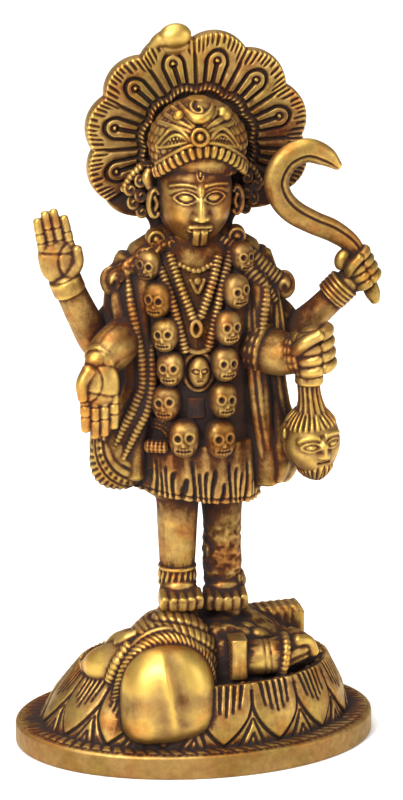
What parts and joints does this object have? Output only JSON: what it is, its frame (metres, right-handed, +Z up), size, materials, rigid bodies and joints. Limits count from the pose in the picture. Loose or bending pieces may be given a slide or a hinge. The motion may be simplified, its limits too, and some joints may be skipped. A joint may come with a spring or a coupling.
{
  "type": "kali figure",
  "caption": "Small cast brass figure of a many-armed goddess with a petalled nimbus, standing on a reclining figure on an oval lotus base.",
  "frame": {"origin": "middle of the oval underside, on the surface that the figure stands on", "axes": "+Z up, the figure faces -Y, and +X is to the viewer's right, which is the figure's left"},
  "size_m": [0.075, 0.051, 0.15],
  "materials": {
    "brass": "cast and chased brass, polished on the high points, dark brown patina in the hollows"
  },
  "bodies": {
    "root": {"kali_figure": "brass"}
  },
  "joints": []
}
